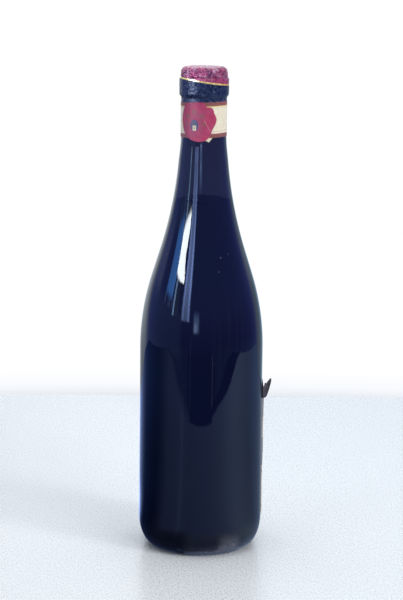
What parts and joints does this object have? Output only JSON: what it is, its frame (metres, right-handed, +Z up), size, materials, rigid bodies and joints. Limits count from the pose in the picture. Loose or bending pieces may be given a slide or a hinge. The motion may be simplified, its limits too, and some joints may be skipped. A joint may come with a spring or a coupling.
{
  "type": "wine bottle",
  "caption": "Tall dark glass wine bottle with sloping shoulders, sealed and full, with a slanted two-tone foil capsule, a paper neck band with a red seal, and a torn label on its back.",
  "frame": {"origin": "middle of the flat standing ring, on the surface the bottle rests on", "axes": "+Z up the bottle's axis, -Y the side with the round seal on the neck band, +X the side where the back label's torn corner stands out"},
  "size_m": [0.0835, 0.0772, 0.3058],
  "materials": {
    "dark_glass": "polished",
    "wine": "gloss",
    "capsule_foil": "gloss",
    "band_paper": "satin",
    "seal_paper": "satin",
    "label_paper": "matte"
  },
  "bodies": {
    "root": {"glass_bottle": "dark_glass", "wine": "wine", "capsule": "capsule_foil", "neck_band": "band_paper", "seal_label": "seal_paper", "body_label": "label_paper"}
  },
  "joints": []
}
